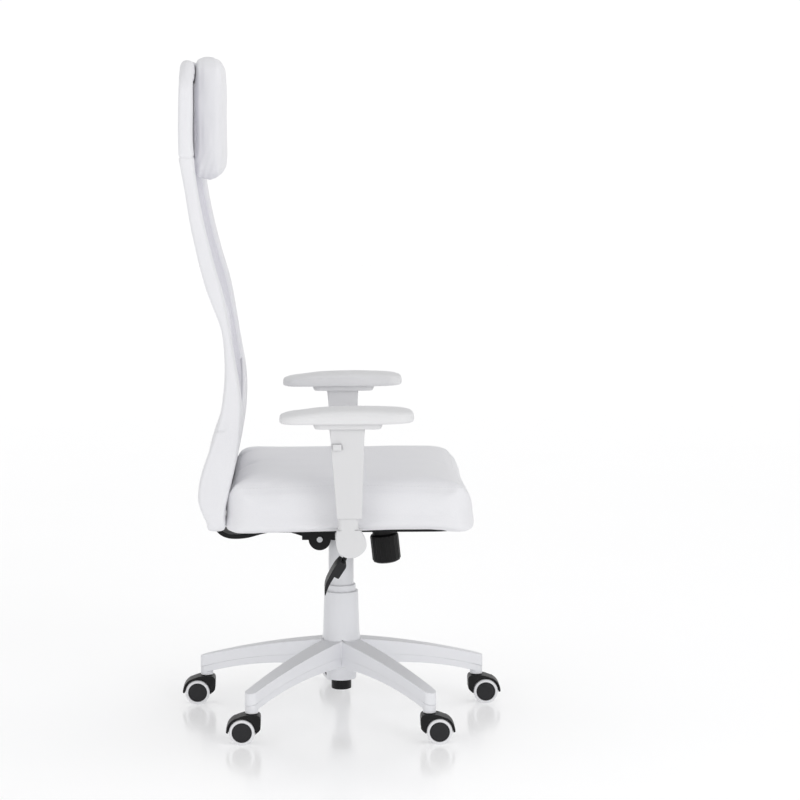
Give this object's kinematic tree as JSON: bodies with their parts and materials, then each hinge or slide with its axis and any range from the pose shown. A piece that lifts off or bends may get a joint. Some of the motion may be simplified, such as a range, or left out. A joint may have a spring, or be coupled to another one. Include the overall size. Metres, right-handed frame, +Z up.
{
  "type": "swivel office chair",
  "caption": "High-back swivel office chair with mesh and leather-look back, padded seat, headrest, height-adjustable arms, gas lift and a star base on twin-wheel casters.",
  "frame": {"origin": "on the floor under the axis of the column", "axes": "+Z up along the column; the sitter faces -Y, so the back is on the +Y side; the sitter's right is -X"},
  "size_m": [0.712, 0.6524, 1.313],
  "materials": {
    "base_white": "satin",
    "column_white": "satin",
    "leather_white": "satin",
    "mesh_white": "matte",
    "arm_grey": "satin",
    "arm_pad_grey": "matte",
    "wheel_tread": "matte",
    "black_plastic": "satin",
    "black_steel": "satin",
    "steel": "satin",
    "bush_nylon": "satin",
    "dust_cover": "matte"
  },
  "bodies": {
    "base": {"base_star": "base_white", "column_cover": "base_white", "stand_tube": "column_white", "tube_bush": "bush_nylon", "thrust_bearing": "steel", "column_end_cap": "black_plastic"},
    "caster_1": {"caster_1_hood": "black_plastic", "caster_1_pins": "steel"},
    "caster_1_right_wheel": {"caster_1_wheel_right": "wheel_tread"},
    "caster_1_left_wheel": {"caster_1_wheel_left": "wheel_tread"},
    "caster_2": {"caster_2_hood": "black_plastic", "caster_2_pins": "steel"},
    "caster_2_right_wheel": {"caster_2_wheel_right": "wheel_tread"},
    "caster_2_left_wheel": {"caster_2_wheel_left": "wheel_tread"},
    "caster_3": {"caster_3_hood": "black_plastic", "caster_3_pins": "steel"},
    "caster_3_right_wheel": {"caster_3_wheel_right": "wheel_tread"},
    "caster_3_left_wheel": {"caster_3_wheel_left": "wheel_tread"},
    "caster_4": {"caster_4_hood": "black_plastic", "caster_4_pins": "steel"},
    "caster_4_right_wheel": {"caster_4_wheel_right": "wheel_tread"},
    "caster_4_left_wheel": {"caster_4_wheel_left": "wheel_tread"},
    "caster_5": {"caster_5_hood": "black_plastic", "caster_5_pins": "steel"},
    "caster_5_right_wheel": {"caster_5_wheel_right": "wheel_tread"},
    "caster_5_left_wheel": {"caster_5_wheel_left": "wheel_tread"},
    "spindle": {"gas_rod": "steel"},
    "seat": {"gas_cylinder": "steel", "mechanism_tray": "black_steel", "seat_plate": "black_steel", "recline_shaft": "steel", "tension_bolt": "steel", "tension_spring": "steel", "seat_board": "dust_cover", "seat_cushion": "leather_white", "seat_bolts": "steel", "right_arm_bracket": "arm_grey", "left_arm_bracket": "arm_grey", "arm_bolts": "steel"},
    "back": {"back_bar": "black_steel", "back_bolts": "steel", "back_rail_right": "leather_white", "back_rail_left": "leather_white", "back_top_rail": "leather_white", "lower_back_panel": "leather_white", "back_mesh": "mesh_white", "headrest_bracket": "black_plastic", "headrest_pad": "leather_white"},
    "lever": {"lever_rod": "black_steel", "lever_paddle": "black_plastic"},
    "gas_valve": {"gas_button": "steel"},
    "knob": {"tension_knob": "black_plastic"},
    "right_arm": {"right_arm_sleeve": "arm_grey"},
    "right_arm_catch": {"right_arm_button": "arm_grey"},
    "right_arm_top": {"right_arm_plate": "arm_grey", "right_arm_pad": "arm_pad_grey"},
    "left_arm": {"left_arm_sleeve": "arm_grey"},
    "left_arm_catch": {"left_arm_button": "arm_grey"},
    "left_arm_top": {"left_arm_plate": "arm_grey", "left_arm_pad": "arm_pad_grey"}
  },
  "joints": [
    {"name": "caster_1_swivel", "type": "hinge", "parent": "base", "child": "caster_1", "pos_m": [0.29095, -0.00559, 0.0585], "axis": [0, 0, 1], "continuous": true},
    {"name": "caster_1_right_roll", "type": "hinge", "parent": "caster_1", "child": "caster_1_right_wheel", "pos_m": [0.29095, 0.01341, 0.025], "axis": [1, 0, 0], "continuous": true},
    {"name": "caster_1_left_roll", "type": "hinge", "parent": "caster_1", "child": "caster_1_left_wheel", "pos_m": [0.29095, 0.01341, 0.025], "axis": [1, 0, 0], "continuous": true},
    {"name": "caster_2_swivel", "type": "hinge", "parent": "base", "child": "caster_2", "pos_m": [0.09522, 0.27498, 0.0585], "axis": [0, 0, 1], "continuous": true},
    {"name": "caster_2_right_roll", "type": "hinge", "parent": "caster_2", "child": "caster_2_right_wheel", "pos_m": [0.09522, 0.29398, 0.025], "axis": [1, 0, 0], "continuous": true},
    {"name": "caster_2_left_roll", "type": "hinge", "parent": "caster_2", "child": "caster_2_left_wheel", "pos_m": [0.09522, 0.29398, 0.025], "axis": [1, 0, 0], "continuous": true},
    {"name": "caster_3_swivel", "type": "hinge", "parent": "base", "child": "caster_3", "pos_m": [-0.2321, 0.17553, 0.0585], "axis": [0, 0, 1], "continuous": true},
    {"name": "caster_3_right_roll", "type": "hinge", "parent": "caster_3", "child": "caster_3_right_wheel", "pos_m": [-0.2321, 0.19453, 0.025], "axis": [1, 0, 0], "continuous": true},
    {"name": "caster_3_left_roll", "type": "hinge", "parent": "caster_3", "child": "caster_3_left_wheel", "pos_m": [-0.2321, 0.19453, 0.025], "axis": [1, 0, 0], "continuous": true},
    {"name": "caster_4_swivel", "type": "hinge", "parent": "base", "child": "caster_4", "pos_m": [-0.23866, -0.16649, 0.0585], "axis": [0, 0, 1], "continuous": true},
    {"name": "caster_4_right_roll", "type": "hinge", "parent": "caster_4", "child": "caster_4_right_wheel", "pos_m": [-0.23866, -0.18549, 0.025], "axis": [1, 0, 0], "continuous": true},
    {"name": "caster_4_left_roll", "type": "hinge", "parent": "caster_4", "child": "caster_4_left_wheel", "pos_m": [-0.23866, -0.18549, 0.025], "axis": [1, 0, 0], "continuous": true},
    {"name": "caster_5_swivel", "type": "hinge", "parent": "base", "child": "caster_5", "pos_m": [0.08459, -0.27843, 0.0585], "axis": [0, 0, 1], "continuous": true},
    {"name": "caster_5_right_roll", "type": "hinge", "parent": "caster_5", "child": "caster_5_right_wheel", "pos_m": [0.08459, -0.29743, 0.025], "axis": [1, 0, 0], "continuous": true},
    {"name": "caster_5_left_roll", "type": "hinge", "parent": "caster_5", "child": "caster_5_left_wheel", "pos_m": [0.08459, -0.29743, 0.025], "axis": [1, 0, 0], "continuous": true},
    {"name": "seat_swivel", "type": "hinge", "parent": "base", "child": "spindle", "pos_m": [0, 0, 0.087], "axis": [0, 0, 1], "continuous": true},
    {"name": "seat_lift", "type": "slide", "parent": "spindle", "child": "seat", "axis": [0, 0, 1], "range_m": [0, 0.1]},
    {"name": "recline", "type": "hinge", "parent": "seat", "child": "back", "pos_m": [0, 0.043, 0.365], "axis": [-1, 0, 0], "range_deg": [0, 12], "stiffness_Nm_per_rad": 120, "springref_deg": -28.65},
    {"name": "lever_lift", "type": "hinge", "parent": "seat", "child": "lever", "pos_m": [-0.05, -0.012, 0.38], "axis": [0, 1, 0], "range_deg": [0, 3.5], "stiffness_Nm_per_rad": 6, "springref_deg": -5.73},
    {"name": "gas_valve_press", "type": "slide", "parent": "seat", "child": "gas_valve", "axis": [0, 0, -1], "range_m": [0, 0.0031]},
    {"name": "tension_turn", "type": "hinge", "parent": "seat", "child": "knob", "pos_m": [0, -0.084, 0.388], "axis": [0, 0.108, 0.9942], "range_deg": [-720, 720]},
    {"name": "right_arm_height", "type": "slide", "parent": "seat", "child": "right_arm", "axis": [0, 0, 1], "range_m": [-0.02, 0.05]},
    {"name": "right_arm_catch_press", "type": "slide", "parent": "right_arm", "child": "right_arm_catch", "axis": [1, 0, 0], "range_m": [0, 0.003], "stiffness_N_per_m": 400, "springref_m": -0.002},
    {"name": "right_pad_turn", "type": "hinge", "parent": "right_arm", "child": "right_arm_top", "pos_m": [-0.311, -0.01, 0.617], "axis": [0, 0, 1], "range_deg": [-25, 25]},
    {"name": "left_arm_height", "type": "slide", "parent": "seat", "child": "left_arm", "axis": [0, 0, 1], "range_m": [-0.02, 0.05]},
    {"name": "left_arm_catch_press", "type": "slide", "parent": "left_arm", "child": "left_arm_catch", "axis": [-1, 0, 0], "range_m": [0, 0.003], "stiffness_N_per_m": 400, "springref_m": -0.002},
    {"name": "left_pad_turn", "type": "hinge", "parent": "left_arm", "child": "left_arm_top", "pos_m": [0.311, -0.01, 0.617], "axis": [0, 0, 1], "range_deg": [-25, 25]}
  ],
  "couplings": [
    {"joint": "gas_valve_press", "follows": "lever_lift", "m_per_rad": 0.05}
  ]
}
